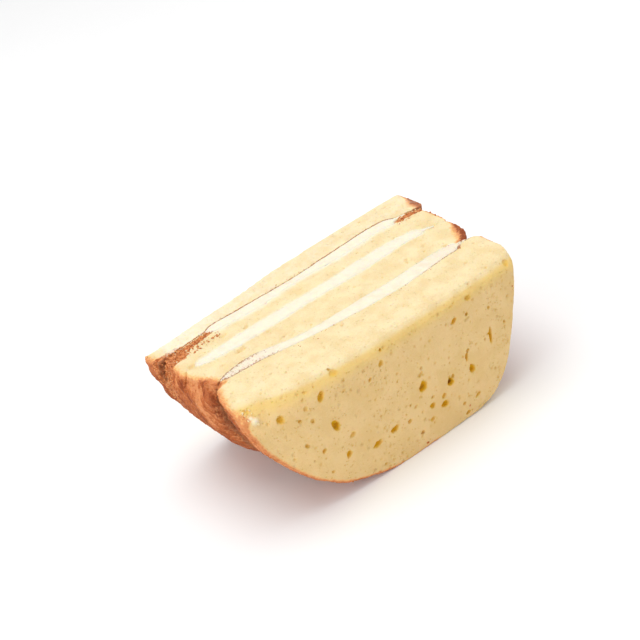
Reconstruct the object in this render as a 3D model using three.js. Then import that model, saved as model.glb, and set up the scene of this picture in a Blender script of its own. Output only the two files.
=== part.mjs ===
import * as THREE from "three";

// Half of a round layered sponge cake, standing on its flattened rim with the knife cut upward.
// Millimetres. X runs along the cut, Y from the front slice to the back slice, Z up from the rim it rests on.

// Overall sizes
const CUT_HEIGHT = 49.7; // height of the knife cut above the rest
const CORE_INSET = [6.5, 10]; // depth of the rim zone around each slice, at the left and right
const BED_GAP = 0.3; // clearance between a sponge and the cream on it
const CLOSED_GAP = 0.4; // clearance between two sponges where the cream has run out
const CREAM_EDGE = 0.55; // share of the cream's thickness left at its outer edge

// Mesh steps
const COLUMNS = 32; // steps along the rim from the left corner to the right corner
const CORNER_CROWDING = 0.45; // how much closer the steps are at the two corners
const DEPTH_STEPS = [0, 0.02, 0.06, 0.16, 0.38, 0.68, 1]; // shares of the way from cut to rim zone
const LAST_ROW = DEPTH_STEPS.length - 1;
const ROUND_STEPS = 3; // steps in each rounded shoulder

// Half-round outline of a slice seen from the front, as x and z, from the left corner round to the right one
const OUTLINE = [
  [-60.6, CUT_HEIGHT],
  [-60.9, 43],
  [-58, 34.4],
  [-51.7, 24.6],
  [-43.6, 14.6],
  [-33.5, 7],
  [-21, 2.6],
  [-9, 0],
  [8, 0],
  [25, 0],
  [34, 2.8],
  [41.2, 9.6],
  [46.2, 18],
  [50.8, 29],
  [54.4, 40],
  [56.2, CUT_HEIGHT],
];

// Stations along X, and the Y of each face of the stack at them
const STATIONS = [-60, -40, -20, 0, 20, 40, 60];
const BACK_FACE = [30.4, 32.2, 34.2, 36.6, 37.5, 38, 38];
const BACK_BED = {
  back: [23.2, 25.2, 24.8, 24.4, 25.7, 26.6, 23.4],
  front: [20.8, 21.2, 19.6, 21.4, 20.4, 21.6, 19.4],
};
const MIDDLE_BED = {
  back: [8.6, 9.9, 10.2, 9.8, 10.6, 10.2, 4.4],
  front: [7.4, 5.2, 5, 5.2, 4.6, 5.6, 3],
};
const FRONT_BED = {
  back: [-8, -4.8, -10, -10.8, -11, -10.6, -12.4],
  front: [-8.7, -9.7, -13.6, -16.3, -17.6, -16.1, -15.6],
};
const FRONT_FACE = [-32, -36, -37.6, -38.2, -38.2, -38, -36.4];

// How far the cut edge of an outer face falls back, and how deep its rounding goes, at the same stations
const FRONT_FALL = [9.5, 4.4, 3.2, 3, 3, 3.2, 3.6];
const FRONT_FALL_DEPTH = [15, 10, 6, 5, 5, 5, 6];
const BACK_FALL = [0.4, 0.5, 0.6, 0.6, 0.6, 0.5, 0.4];
const BACK_FALL_DEPTH = [2, 2, 2, 2, 2, 2, 2];

// Cream beds: where each ends at the cut, left and right
const BACK_CREAM_ENDS = [-39, 47];
const MIDDLE_CREAM_ENDS = [-54, 48];
const FRONT_CREAM_ENDS = [-53, 47.5];

// Rim of each slice: growth of the outline at places along it, and rounded shoulders as [inset, thickness]
const GROWTH_PLACES = [0, 0.06, 0.12, 0.18, 0.3, 0.6, 0.9, 1];
const BACK_RIM = {
  growth: [1.8, 1.2, 2.6, 4.2, 3.6, 0.6, 3, 4.6],
  backLeft: [0.6, 1.4],
  backRight: [0.8, 1.4],
  frontLeft: [1.6, 2.4],
  frontRight: [0.9, 1.4],
};
const INNER_BACK_RIM = {
  growth: [-1.2, 1.1, 3.4, 4.5, 3.8, 0.4, 1, 1.7],
  backLeft: [2.4, 3.5],
  backRight: [2.4, 3.4],
  frontLeft: [0.7, 1.2],
  frontRight: [1, 1.6],
};
const INNER_FRONT_RIM = {
  growth: [-2.2, 0.9, 3.5, 4.6, 3.8, 0.4, 0.6, 1],
  backLeft: [0.7, 1.2],
  backRight: [1, 1.6],
  frontLeft: [4.8, 6.5],
  frontRight: [8.6, 10.5],
};
const FRONT_RIM = {
  growth: [0.3, 0.1, 1.1, 1.6, 1.6, 0.2, 0.4, 0],
  backLeft: [8, 12],
  backRight: [2.6, 3],
  frontLeft: [0.5, 1.2],
  frontRight: [3.6, 9.5],
};

// Baked unevenness of the rim
const RIM_RIPPLE = 0.35;
const RIM_BULGE = 0.3;

// Colours
const SPONGE_COLOUR = 0xe8cf92;
const CREAM_COLOUR = 0xfaf3e4;

function mix(a, b, t) {
  return a + (b - a) * t;
}

function smooth(t) {
  const s = THREE.MathUtils.clamp(t, 0, 1);
  return s * s * (3 - 2 * s);
}

// Reads a row of station values at x, with a smooth curve through them.
function along(values, x) {
  const step = STATIONS[1] - STATIONS[0];
  const place = THREE.MathUtils.clamp((x - STATIONS[0]) / step, 0, STATIONS.length - 1);
  const i = Math.min(Math.floor(place), STATIONS.length - 2);
  const t = place - i;
  const before = values[Math.max(i - 1, 0)];
  const after = values[Math.min(i + 2, values.length - 1)];
  const start = values[i];
  const end = values[i + 1];
  const slopeStart = (end - before) / 2;
  const slopeEnd = (after - start) / 2;
  const a = 2 * start - 2 * end + slopeStart + slopeEnd;
  const b = 3 * end - 3 * start - 2 * slopeStart - slopeEnd;
  return ((a * t + b) * t + slopeStart) * t + start;
}

function isCorner(c) {
  return c === 0 || c === COLUMNS;
}

// Outline points from corner to corner, each with the direction that points out of the slice.
function outlinePoints() {
  const knots = OUTLINE.map(([x, z]) => new THREE.Vector3(x, 0, z));
  const curve = new THREE.CatmullRomCurve3(knots, false, "centripetal");
  curve.arcLengthDivisions = 800;
  const points = [];
  for (let c = 0; c <= COLUMNS; c += 1) {
    const even = c / COLUMNS;
    const share = even - (CORNER_CROWDING * Math.sin(2 * Math.PI * even)) / (2 * Math.PI);
    const at = curve.getPointAt(share);
    const heading = curve.getTangentAt(share);
    const out = new THREE.Vector2(heading.z, -heading.x).normalize();
    if (isCorner(c)) {
      out.set(Math.sign(at.x), 0);
    }
    points.push({ x: at.x, z: isCorner(c) ? CUT_HEIGHT : Math.max(at.z, 0), out, share });
  }
  return points;
}

const RIM_POINTS = outlinePoints();

function coreInset(c) {
  return mix(CORE_INSET[0], CORE_INSET[1], smooth(RIM_POINTS[c].share));
}

// Inner end of the rim zone at a column.
function corePoint(c) {
  const rim = RIM_POINTS[c];
  const inset = coreInset(c);
  return { x: rim.x - rim.out.x * inset, z: Math.min(rim.z - rim.out.y * inset, CUT_HEIGHT) };
}

// Grid point of a slice at a column and a depth step; every slice and every cream bed shares this grid.
function gridPoint(c, row) {
  const core = corePoint(c);
  const left = corePoint(0).x;
  const right = corePoint(COLUMNS).x;
  const reach = THREE.MathUtils.clamp((core.x - left) / (right - left), 0, 1);
  const spread = mix(RIM_POINTS[c].share, reach, 0.75);
  const topX = isCorner(c) ? core.x : mix(left, right, spread);
  const t = DEPTH_STEPS[row];
  return { x: mix(topX, core.x, t), z: mix(CUT_HEIGHT, core.z, t) };
}

// First and last column of a cream bed that ends at the given x on the cut.
function creamSpan(ends) {
  const columns = RIM_POINTS.map((rim, c) => c).filter((c) => !isCorner(c));
  const held = columns.filter((c) => gridPoint(c, 0).x >= ends[0] && gridPoint(c, 0).x <= ends[1]);
  return [held[0], held[held.length - 1]];
}

// Share of the cream's thickness at a grid point of a bed: 1 inside, less on its edge, nothing beyond it.
function creamShare(span, c, row) {
  if (c < span[0] || c > span[1]) {
    return 0;
  }
  const onEdge = c === span[0] || c === span[1] || row === LAST_ROW;
  return onEdge ? CREAM_EDGE : 1;
}

// Y of a bed's middle and half its cream's thickness at x.
function bedMiddle(bed, x) {
  return (along(bed.back, x) + along(bed.front, x)) / 2;
}

function bedHalf(bed, x) {
  return Math.max(along(bed.back, x) - along(bed.front, x), 0.7) / 2;
}

// Face of a sponge that lies on a cream bed; side is +1 behind the bed and -1 in front of it.
function beddedFace(bed, span, side) {
  return (x, z, c, row) => {
    const share = row === undefined ? 0 : creamShare(span, c, row);
    const clearance = share > 0 ? bedHalf(bed, x) * share + BED_GAP : CLOSED_GAP / 2;
    return bedMiddle(bed, x) + side * clearance;
  };
}

// Outer crumb face, gently domed, that falls back towards the cut.
function outerFace(face, fall, fallDepth, side) {
  return (x, z) => {
    const depth = THREE.MathUtils.clamp((CUT_HEIGHT - z) / along(fallDepth, x), 0, 1);
    return along(face, x) - side * along(fall, x) * (1 - depth) * (1 - depth);
  };
}

// Growth of a slice's outline at a share of the way from its left corner to its right corner.
function growthAt(growth, share) {
  const i = Math.max(GROWTH_PLACES.findLastIndex((place) => place <= share), 0);
  const next = Math.min(i + 1, growth.length - 1);
  const length = GROWTH_PLACES[next] - GROWTH_PLACES[i] || 1;
  return mix(growth[i], growth[next], smooth((share - GROWTH_PLACES[i]) / length));
}

// Shoulder size [inset, thickness] at a column, blended from the left end to the right end.
function shoulderAt(left, right, share) {
  const t = smooth((share - 0.5) / 0.38);
  return [mix(left[0], right[0], t), mix(left[1], right[1], t)];
}

// Small ripples of the baked rim.
function ripple(c, y) {
  const long = Math.sin(c * 0.83 - y * 0.57 + 1.3);
  const medium = Math.sin(c * 1.7 + y * 0.31);
  const short = Math.sin(c * 2.9 + y * 0.9);
  return ((long + medium + short) * RIM_RIPPLE) / 3;
}

// Cross-section of the rim at a column, from the back face round to the front face.
function rimSection(c, rimSizes, backFace, frontFace) {
  const rim = RIM_POINTS[c];
  const core = corePoint(c);
  const depth = coreInset(c) + growthAt(rimSizes.growth, rim.share);
  const back = shoulderAt(rimSizes.backLeft, rimSizes.backRight, rim.share);
  const front = shoulderAt(rimSizes.frontLeft, rimSizes.frontRight, rim.share);
  const place = (inset) => {
    const z = THREE.MathUtils.clamp(core.z + rim.out.y * (depth - inset), 0, CUT_HEIGHT);
    return { x: core.x + rim.out.x * (depth - inset), z };
  };
  const shoulder = (face, size, side, angle) => {
    const at = place(size[0] * (1 - Math.sin(angle)));
    return { ...at, y: face(at.x, at.z) - side * size[1] * (1 - Math.cos(angle)) };
  };
  const flat = (face, size) => {
    const at = place(mix(size[0], depth, 0.5));
    return { ...at, y: face(at.x, at.z) };
  };
  const angles = Array.from({ length: ROUND_STEPS + 1 }, (unused, i) => ((i / ROUND_STEPS) * Math.PI) / 2);
  const backPoints = angles.map((angle) => shoulder(backFace, back, 1, angle));
  const frontPoints = angles.map((angle) => shoulder(frontFace, front, -1, angle)).reverse();
  const yMiddle = (backPoints[ROUND_STEPS].y + frontPoints[0].y) / 2;
  const swell = RIM_BULGE + ripple(c, yMiddle);
  const crown = { ...place(-swell), y: yMiddle };
  return [flat(backFace, back), ...backPoints, crown, ...frontPoints, flat(frontFace, front)];
}

// Collects points and triangles; a point is added once and shared by its triangles.
function newShell() {
  const numbers = [];
  const index = [];
  return {
    add(p) {
      numbers.push(p.x, p.y, p.z);
      return numbers.length / 3 - 1;
    },
    tri(a, b, c) {
      if (a !== b && b !== c && c !== a) {
        index.push(a, b, c);
      }
    },
    quad(a, b, c, d) {
      this.tri(a, b, c);
      this.tri(a, c, d);
    },
    geometry() {
      const geometry = new THREE.BufferGeometry();
      geometry.setAttribute("position", new THREE.Float32BufferAttribute(numbers, 3));
      geometry.setIndex(index);
      geometry.computeVertexNormals();
      return geometry;
    },
  };
}

// Points of one large face on the shared grid, by column and depth step. Corner columns are a single point.
function facePoints(shell, columns, faceY) {
  const ids = [];
  for (let c = columns[0]; c <= columns[1]; c += 1) {
    const column = [];
    for (let row = 0; row <= LAST_ROW; row += 1) {
      const p = gridPoint(c, row);
      const shared = isCorner(c) && row > 0;
      column.push(shared ? column[0] : shell.add({ x: p.x, y: faceY(p.x, p.z, c, row), z: p.z }));
    }
    ids.push(column);
  }
  return ids;
}

// Triangles of a large face. Both windings split each cell alike, so facing surfaces run parallel.
function faceQuads(shell, ids, forward) {
  for (let c = 0; c + 1 < ids.length; c += 1) {
    for (let row = 0; row + 1 < ids[c].length; row += 1) {
      const corner = ids[c][row];
      const below = ids[c][row + 1];
      const across = ids[c + 1][row + 1];
      const beside = ids[c + 1][row];
      if (forward) {
        shell.quad(corner, below, across, beside);
      } else {
        shell.quad(corner, beside, across, below);
      }
    }
  }
}

// A sponge slice: two large faces, the rim between them and the cut along the top.
function spongeSlice(rimSizes, backFace, frontFace) {
  const shell = newShell();
  const back = facePoints(shell, [0, COLUMNS], backFace);
  const front = facePoints(shell, [0, COLUMNS], frontFace);
  faceQuads(shell, back, false);
  faceQuads(shell, front, true);
  const sections = RIM_POINTS.map((rim, c) => {
    const ring = rimSection(c, rimSizes, backFace, frontFace).map((p) => shell.add(p));
    return [back[c][LAST_ROW], ...ring, front[c][LAST_ROW]];
  });
  for (let c = 0; c < COLUMNS; c += 1) {
    for (let i = 0; i + 1 < sections[c].length; i += 1) {
      shell.quad(sections[c][i], sections[c + 1][i], sections[c + 1][i + 1], sections[c][i + 1]);
    }
    shell.quad(back[c][0], front[c][0], front[c + 1][0], back[c + 1][0]);
  }
  const leftEnd = sections[0];
  const rightEnd = sections[COLUMNS];
  for (let i = 1; i + 1 < leftEnd.length; i += 1) {
    shell.tri(leftEnd[0], leftEnd[i], leftEnd[i + 1]);
    shell.tri(rightEnd[0], rightEnd[i + 1], rightEnd[i]);
  }
  return shell.geometry();
}

// A cream bed between two slices, blunt at its edges and flush with the cut.
function creamBed(bed, span) {
  const shell = newShell();
  const surface = (side) => (x, z, c, row) => {
    return bedMiddle(bed, x) + side * bedHalf(bed, x) * creamShare(span, c, row);
  };
  const back = facePoints(shell, span, surface(1));
  const front = facePoints(shell, span, surface(-1));
  faceQuads(shell, back, false);
  faceQuads(shell, front, true);
  const last = back.length - 1;
  for (let c = 0; c < last; c += 1) {
    shell.quad(back[c][LAST_ROW], back[c + 1][LAST_ROW], front[c + 1][LAST_ROW], front[c][LAST_ROW]);
    shell.quad(back[c][0], front[c][0], front[c + 1][0], back[c + 1][0]);
  }
  for (let row = 0; row < LAST_ROW; row += 1) {
    shell.quad(back[0][row], back[0][row + 1], front[0][row + 1], front[0][row]);
    shell.quad(back[last][row], front[last][row], front[last][row + 1], back[last][row + 1]);
  }
  return shell.geometry();
}

function foodMesh(name, geometry, colour, roughness) {
  const material = new THREE.MeshStandardMaterial({ color: colour, roughness, metalness: 0 });
  material.name = name;
  const mesh = new THREE.Mesh(geometry, material);
  mesh.name = name;
  return mesh;
}

const backSpan = creamSpan(BACK_CREAM_ENDS);
const middleSpan = creamSpan(MIDDLE_CREAM_ENDS);
const frontSpan = creamSpan(FRONT_CREAM_ENDS);

const backFace = outerFace(BACK_FACE, BACK_FALL, BACK_FALL_DEPTH, 1);
const frontFace = outerFace(FRONT_FACE, FRONT_FALL, FRONT_FALL_DEPTH, -1);

const backSlice = spongeSlice(BACK_RIM, backFace, beddedFace(BACK_BED, backSpan, 1));
const innerBackSlice = spongeSlice(
  INNER_BACK_RIM,
  beddedFace(BACK_BED, backSpan, -1),
  beddedFace(MIDDLE_BED, middleSpan, 1),
);
const innerFrontSlice = spongeSlice(
  INNER_FRONT_RIM,
  beddedFace(MIDDLE_BED, middleSpan, -1),
  beddedFace(FRONT_BED, frontSpan, 1),
);
const frontSlice = spongeSlice(FRONT_RIM, beddedFace(FRONT_BED, frontSpan, -1), frontFace);

const group = new THREE.Group();
group.name = "cream_cake_half";
group.add(foodMesh("back_sponge", backSlice, SPONGE_COLOUR, 0.9));
group.add(foodMesh("back_cream", creamBed(BACK_BED, backSpan), CREAM_COLOUR, 0.5));
group.add(foodMesh("inner_back_sponge", innerBackSlice, SPONGE_COLOUR, 0.9));
group.add(foodMesh("middle_cream", creamBed(MIDDLE_BED, middleSpan), CREAM_COLOUR, 0.5));
group.add(foodMesh("inner_front_sponge", innerFrontSlice, SPONGE_COLOUR, 0.9));
group.add(foodMesh("front_cream", creamBed(FRONT_BED, frontSpan), CREAM_COLOUR, 0.5));
group.add(foodMesh("front_sponge", frontSlice, SPONGE_COLOUR, 0.9));

// The origin is under the middle of the whole cake.
const box = new THREE.Box3().setFromObject(group);
const middle = box.getCenter(new THREE.Vector3());
group.children.forEach((mesh) => mesh.geometry.translate(-middle.x, -middle.y, -box.min.z));

export default group;
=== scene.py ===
import math

import bmesh
import bpy
import numpy as np
from mathutils import Matrix, Vector


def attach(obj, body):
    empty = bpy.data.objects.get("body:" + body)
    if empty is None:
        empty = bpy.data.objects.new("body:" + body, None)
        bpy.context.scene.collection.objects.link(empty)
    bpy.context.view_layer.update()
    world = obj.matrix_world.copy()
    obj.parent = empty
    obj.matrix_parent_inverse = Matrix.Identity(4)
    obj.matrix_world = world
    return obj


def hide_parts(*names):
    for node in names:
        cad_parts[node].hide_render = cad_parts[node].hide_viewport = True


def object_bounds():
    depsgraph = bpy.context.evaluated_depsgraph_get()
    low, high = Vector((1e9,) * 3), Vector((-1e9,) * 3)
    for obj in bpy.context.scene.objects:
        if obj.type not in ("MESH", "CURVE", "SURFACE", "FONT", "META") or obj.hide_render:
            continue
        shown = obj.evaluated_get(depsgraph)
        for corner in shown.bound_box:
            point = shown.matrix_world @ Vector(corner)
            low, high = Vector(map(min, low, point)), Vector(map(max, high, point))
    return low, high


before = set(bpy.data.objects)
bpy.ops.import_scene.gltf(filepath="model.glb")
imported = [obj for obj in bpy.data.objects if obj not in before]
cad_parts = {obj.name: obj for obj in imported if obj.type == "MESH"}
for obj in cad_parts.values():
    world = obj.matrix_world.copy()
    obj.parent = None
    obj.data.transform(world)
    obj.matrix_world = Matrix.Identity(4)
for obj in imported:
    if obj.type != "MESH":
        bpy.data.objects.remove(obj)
CAD_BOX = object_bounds()

# Half of a round layered sponge cake, standing on its flattened rim with the knife cut upward.
# The shapes are worked out in millimetres: X along the cut, Y from the front slice to the back slice, Z up.
# The origin of the finished piece is under the middle of its box, which is the shift below.
MM = 0.001
SHIFT = np.array([0.8826, 0.1080, 0.0])

# Overall sizes and blends
CUT_HEIGHT = 49.7
CUT_TRIM = 0.3  # how far the soft cut surface lies under the sharp upper plane
CREAM_TRIM = 0.2
CORE_INSET = (6.5, 10.0)
CREAM_EDGE = 0.55
BED_THINS = (0.68, 0.32)  # share of the depth from which a bed thins, and the share that is left
BED_LEAST = 0.7
END_FADE = 3
CORNER_BLEND = 0.06
SHOULDER_TURN = (0.5, 0.38)  # share of the outline from which the shoulders change, and over how much
COLUMN_CROWDING = 0.3  # how much closer the columns of a shell stand near the corners
TOP_BLEND = 0.75

# Steps of the first rough shells, before they are remeshed
COLUMNS = 170
ROWS = 26
ROUND_STEPS = 8
CROWN_STEPS = 6
FLAT_ROWS = (0.33, 0.67)  # rows between the core and a shoulder
OUTLINE_STEPS = 1000
KNOT_STEPS = 80
SURVEY_PART = 4000  # about how many points are measured against the outline at a time

# Half-round outline of a slice seen from the front, as x and z
OUTLINE = [
    (-60.6, CUT_HEIGHT), (-60.9, 43), (-58, 34.4), (-51.7, 24.6), (-43.6, 14.6), (-33.5, 7), (-21, 2.6),
    (-9, 0), (8, 0), (25, 0), (34, 2.8), (41.2, 9.6), (46.2, 18), (50.8, 29), (54.4, 40),
    (56.2, CUT_HEIGHT),
]

# Stations along X, and the Y of each face of the stack at them
STATIONS = (-60, -40, -20, 0, 20, 40, 60)
BACK_FACE = (30.4, 32.2, 34.2, 36.6, 37.5, 38, 38)
NOWHERE = ((-60, 0), (60, 0))  # strength of a finish that a piece doesn't have, as x and strength
BACK_BED = {
    "back": (23.2, 25.2, 24.8, 24.4, 25.7, 26.6, 23.4),
    "front": (20.8, 21.2, 19.6, 21.4, 20.4, 21.6, 19.4),
    "ends": (-39, 47),
    "spread": (0.1, 0.6),
    "soiled": NOWHERE,
}
MIDDLE_BED = {
    "back": (8.6, 9.9, 10.2, 9.8, 10.6, 10.2, 4.4),
    "front": (7.4, 5.2, 5, 5.2, 4.6, 5.6, 3),
    "ends": (-54, 48),
    "spread": (0.6, 0.6),
    "soiled": NOWHERE,
    "fused": 0.25,
}
FRONT_BED = {
    "back": (-8, -4.8, -10, -10.8, -11, -10.6, -12.4),
    "front": (-8.7, -9.7, -13.6, -16.3, -17.6, -16.1, -15.6),
    "ends": (-53, 48),
    "fade": 1.6,
    "spread": (0.4, 0.15),
    "soiled": ((-53, 0.8), (-36, 0.7), (-28, 0.3), (-18, 0.1), (24, 0.1), (34, 0.4), (50, 0.7)),
}
FRONT_FACE = (-32, -36, -37.6, -38.2, -38.2, -38, -36.4)
FRONT_FALL = (9.5, 4.4, 3.2, 3, 3, 3.2, 3.6)
FRONT_FALL_DEPTH = (15, 10, 6, 5, 5, 5, 6)
BACK_FALL = (0.4, 0.5, 0.6, 0.6, 0.6, 0.5, 0.4)
BACK_FALL_DEPTH = (2, 2, 2, 2, 2, 2, 2)

# Rim of each slice: growth of the outline at places along it, and rounded shoulders as (inset, thickness)
GROWTH_PLACES = (0, 0.06, 0.12, 0.18, 0.3, 0.6, 0.9, 1)
BACK_RIM = {
    "growth": (1.8, 1.2, 2.6, 4.2, 3.6, 0.6, 3, 4.6),
    "back": ((0.6, 1.4), (0.8, 1.4)),
    "front": ((1.6, 2.4), (0.9, 1.4)),
}
INNER_BACK_RIM = {
    "growth": (-1.2, 1.1, 3.4, 4.5, 3.8, 0.4, 1, 1.7),
    "back": ((2.4, 3.5), (2.4, 3.4)),
    "front": ((0.7, 1.2), (1, 1.6)),
}
INNER_FRONT_RIM = {
    "growth": (-2.2, 0.9, 3.5, 4.6, 3.8, 0.4, 0.6, 1),
    "back": ((0.7, 1.2), (1, 1.6)),
    "front": ((4.8, 6.5), (8.6, 10.5)),
}
FRONT_RIM = {
    "growth": (0.3, 0.1, 1.1, 1.6, 1.6, 0.2, 0.4, 0),
    "back": ((10, 20), (2.6, 3)),
    "front": ((0.5, 1.2), (3.6, 9.5)),
}
RIM_BULGE = 0.3
CROWN_ROOM = 0.6  # least thickness of a rim between its shoulders

SPONGE_VOXEL = 0.46
CREAM_VOXEL = 0.42


def smooth(t):
    s = np.clip(t, 0, 1)
    return s * s * (3 - 2 * s)


def mix(a, b, t):
    return a + (b - a) * t


def ramp(x, low, high):
    return smooth((x - low) / (high - low))


def row_at(rows, x):
    """Reads a row of (place, value) pairs at x, with straight lines between them."""
    return np.interp(x, *zip(*rows))


def curve(start, end, slope_start, slope_end, t):
    """Smooth curve from one value to the next, with a slope at each."""
    a = 2 * start - 2 * end + slope_start + slope_end
    b = 3 * end - 3 * start - 2 * slope_start - slope_end
    return ((a * t + b) * t + slope_start) * t + start


def along(values, x):
    """Reads a row of station values at x, with a smooth curve through them."""
    v = np.asarray(values, float)
    place = np.clip((np.asarray(x, float) - STATIONS[0]) / (STATIONS[1] - STATIONS[0]), 0, len(v) - 1)
    i = np.minimum(place.astype(int), len(v) - 2)
    t = place - i
    before, start, end = v[np.maximum(i - 1, 0)], v[i], v[i + 1]
    after = v[np.minimum(i + 2, len(v) - 1)]
    return curve(start, end, (end - before) / 2, (after - start) / 2, t)


def outline_samples(count):
    """Even samples of the outline, corner to corner: places, outward directions and share of the length."""
    knots = np.array(OUTLINE, float)
    knots = np.vstack([2 * knots[0] - knots[1], knots, 2 * knots[-1] - knots[-2]])
    t = np.linspace(0, 1, KNOT_STEPS, endpoint=False)[:, None]
    pieces = []
    for p0, p1, p2, p3 in zip(knots, knots[1:], knots[2:], knots[3:]):
        d0, d1, d2 = (np.sqrt(np.linalg.norm(b - a)) for a, b in ((p0, p1), (p1, p2), (p2, p3)))
        m1 = ((p1 - p0) / d0 - (p2 - p0) / (d0 + d1) + (p2 - p1) / d1) * d1
        m2 = ((p2 - p1) / d1 - (p3 - p1) / (d1 + d2) + (p3 - p2) / d2) * d1
        pieces.append(curve(p1, p2, m1, m2, t))
    fine = np.vstack(pieces + [knots[-2:-1]])
    length = np.concatenate([[0], np.cumsum(np.linalg.norm(np.diff(fine, axis=0), axis=1))])
    share = np.linspace(0, 1, count + 1)
    places = np.stack([np.interp(share * length[-1], length, fine[:, k]) for k in (0, 1)], 1)
    heading = np.gradient(places, axis=0)
    out = np.stack([heading[:, 1], -heading[:, 0]], 1)
    side = np.stack([np.sign(places[:, 0]), np.zeros(count + 1)], 1)
    out /= np.linalg.norm(out, axis=1)[:, None]
    out = mix(side, out, smooth(np.minimum(share, 1 - share) / CORNER_BLEND)[:, None])
    out /= np.linalg.norm(out, axis=1)[:, None]
    places[:, 1] = np.clip(places[:, 1], 0, CUT_HEIGHT)
    places[[0, -1], 1] = CUT_HEIGHT
    return places, out, share


RIM_PLACES, RIM_OUT, RIM_SHARE = outline_samples(OUTLINE_STEPS)


def core_inset(share):
    return mix(CORE_INSET[0], CORE_INSET[1], smooth(share))


def growth_at(growth, share):
    """Growth of a slice's outline, eased from each place to the next."""
    places = np.asarray(GROWTH_PLACES)
    i = np.clip(np.searchsorted(places, share, side="right") - 1, 0, len(places) - 2)
    t = smooth((share - places[i]) / (places[i + 1] - places[i]))
    g = np.asarray(growth, float)
    return mix(g[i], g[i + 1], t)


def shoulder_at(ends, share):
    t = smooth((share - SHOULDER_TURN[0]) / SHOULDER_TURN[1])
    return mix(ends[0][0], ends[1][0], t), mix(ends[0][1], ends[1][1], t)


def fitted_shoulders(rim_sizes, share, room):
    """Back and front shoulders as (inset, thickness), thinner where the slice leaves them less room."""
    back, front = (shoulder_at(rim_sizes[key], share) for key in ("back", "front"))
    scale = np.clip((room - CROWN_ROOM) / (back[1] + front[1]), 0, 1)
    return (back[0], back[1] * scale), (front[0], front[1] * scale)


def cream_share(bed, x, depth_share):
    """Share of a bed's full thickness: nothing past its ends, less along its buried edge."""
    left, right = bed["ends"]
    fade = bed.get("fade", END_FADE)
    ends = ramp(x, left - END_FADE, left + END_FADE) * ramp(x, right + fade, right - fade)
    thinned = smooth((depth_share - BED_THINS[0]) / BED_THINS[1])
    edge = mix(1, CREAM_EDGE, thinned) * np.clip(2 - depth_share, 0, 1)
    return ends * edge


def bedded_face(bed, side, gap=0.0):
    """Face of a sponge on a cream bed; side is +1 behind the bed and -1 in front of it."""

    def face(x, z, share):
        back, front = along(bed["back"], x), along(bed["front"], x)
        half = np.maximum(back - front, BED_LEAST) / 2
        closed = bed.get("fused", 0.0) * np.clip(1 - 2 * share, 0, 1)
        return (back + front) / 2 + side * (half * share + gap - closed)

    face.bed = bed
    return face


def outer_face(row, fall, fall_depth, side):
    """Outer crumb face, gently domed, that falls back towards the cut."""

    def face(x, z, share):
        depth = np.clip((CUT_HEIGHT - z) / along(fall_depth, x), 0, 1)
        return along(row, x) - side * along(fall, x) * (1 - depth) ** 2

    face.bed = None
    return face


def share_on(face, top_x, depth_share):
    if face.bed is None:
        return np.zeros_like(top_x * depth_share)
    return cream_share(face.bed, top_x, depth_share)


def shell_columns():
    """Columns of a shell: core places, outward directions, shares of the outline and places on the cut."""
    even = np.linspace(0, 1, COLUMNS + 1)
    share = even - COLUMN_CROWDING * np.sin(2 * np.pi * even) / (2 * np.pi)
    rim = np.stack([np.interp(share, RIM_SHARE, RIM_PLACES[:, k]) for k in (0, 1)], 1)
    out = np.stack([np.interp(share, RIM_SHARE, RIM_OUT[:, k]) for k in (0, 1)], 1)
    out /= np.linalg.norm(out, axis=1)[:, None]
    core = rim - out * core_inset(share)[:, None]
    core[:, 1] = np.minimum(core[:, 1], CUT_HEIGHT)
    reach = np.clip((core[:, 0] - core[0, 0]) / (core[-1, 0] - core[0, 0]), 0, 1)
    top = mix(core[0, 0], core[-1, 0], mix(share, reach, TOP_BLEND))
    return core, out, share, top


def slice_loops(rim_sizes, back_face, front_face):
    """A closed section of a slice at each column: down the back, round the rim and up the front."""
    core, out, share, top = shell_columns()
    depth = core_inset(share) + growth_at(rim_sizes["growth"], share)
    rows = np.linspace(0, 1, ROWS + 1)[:, None]
    face_x = mix(top, core[:, 0], rows)
    face_z = mix(CUT_HEIGHT, core[:, 1], rows)

    def place(inset):
        x = core[:, 0] + out[:, 0] * (depth - inset)
        return x, np.clip(core[:, 1] + out[:, 1] * (depth - inset), 0, CUT_HEIGHT)

    def big_face(face):
        y = face(face_x, face_z, share_on(face, top, rows))
        return [np.stack([face_x[r], y[r], face_z[r]], 1) for r in range(ROWS + 1)]

    def shoulder(face, size, side):
        points = []
        for angle in np.linspace(0, math.pi / 2, ROUND_STEPS + 1):
            x, z = place(size[0] * (1 - math.sin(angle)))
            y = face(x, z, np.zeros_like(x)) - side * size[1] * (1 - math.cos(angle))
            points.append(np.stack([x, y, z], 1))
        return points

    def flat(face, size, t):
        x, z = place(mix(depth, size[0], t))
        y = face(x, z, share_on(face, top, 1 + t))
        return np.stack([x, y, z], 1)

    def half(face, size, side):
        return [flat(face, size, t) for t in FLAT_ROWS] + shoulder(face, size, side)

    rim_x, rim_z = place(0)
    bare = np.zeros_like(rim_x)
    room = back_face(rim_x, rim_z, bare) - front_face(rim_x, rim_z, bare)
    back_size, front_size = fitted_shoulders(rim_sizes, share, room)
    back, front = half(back_face, back_size, 1), half(front_face, front_size, -1)
    crown = []
    for step in range(1, CROWN_STEPS):
        t = step / CROWN_STEPS
        x, z = place(-RIM_BULGE * math.sin(math.pi * t))
        crown.append(np.stack([x, mix(back[-1][:, 1], front[-1][:, 1], t), z], 1))
    loop = big_face(back_face) + back + crown + front[::-1] + big_face(front_face)[::-1]
    return np.stack(loop, 1)


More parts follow.
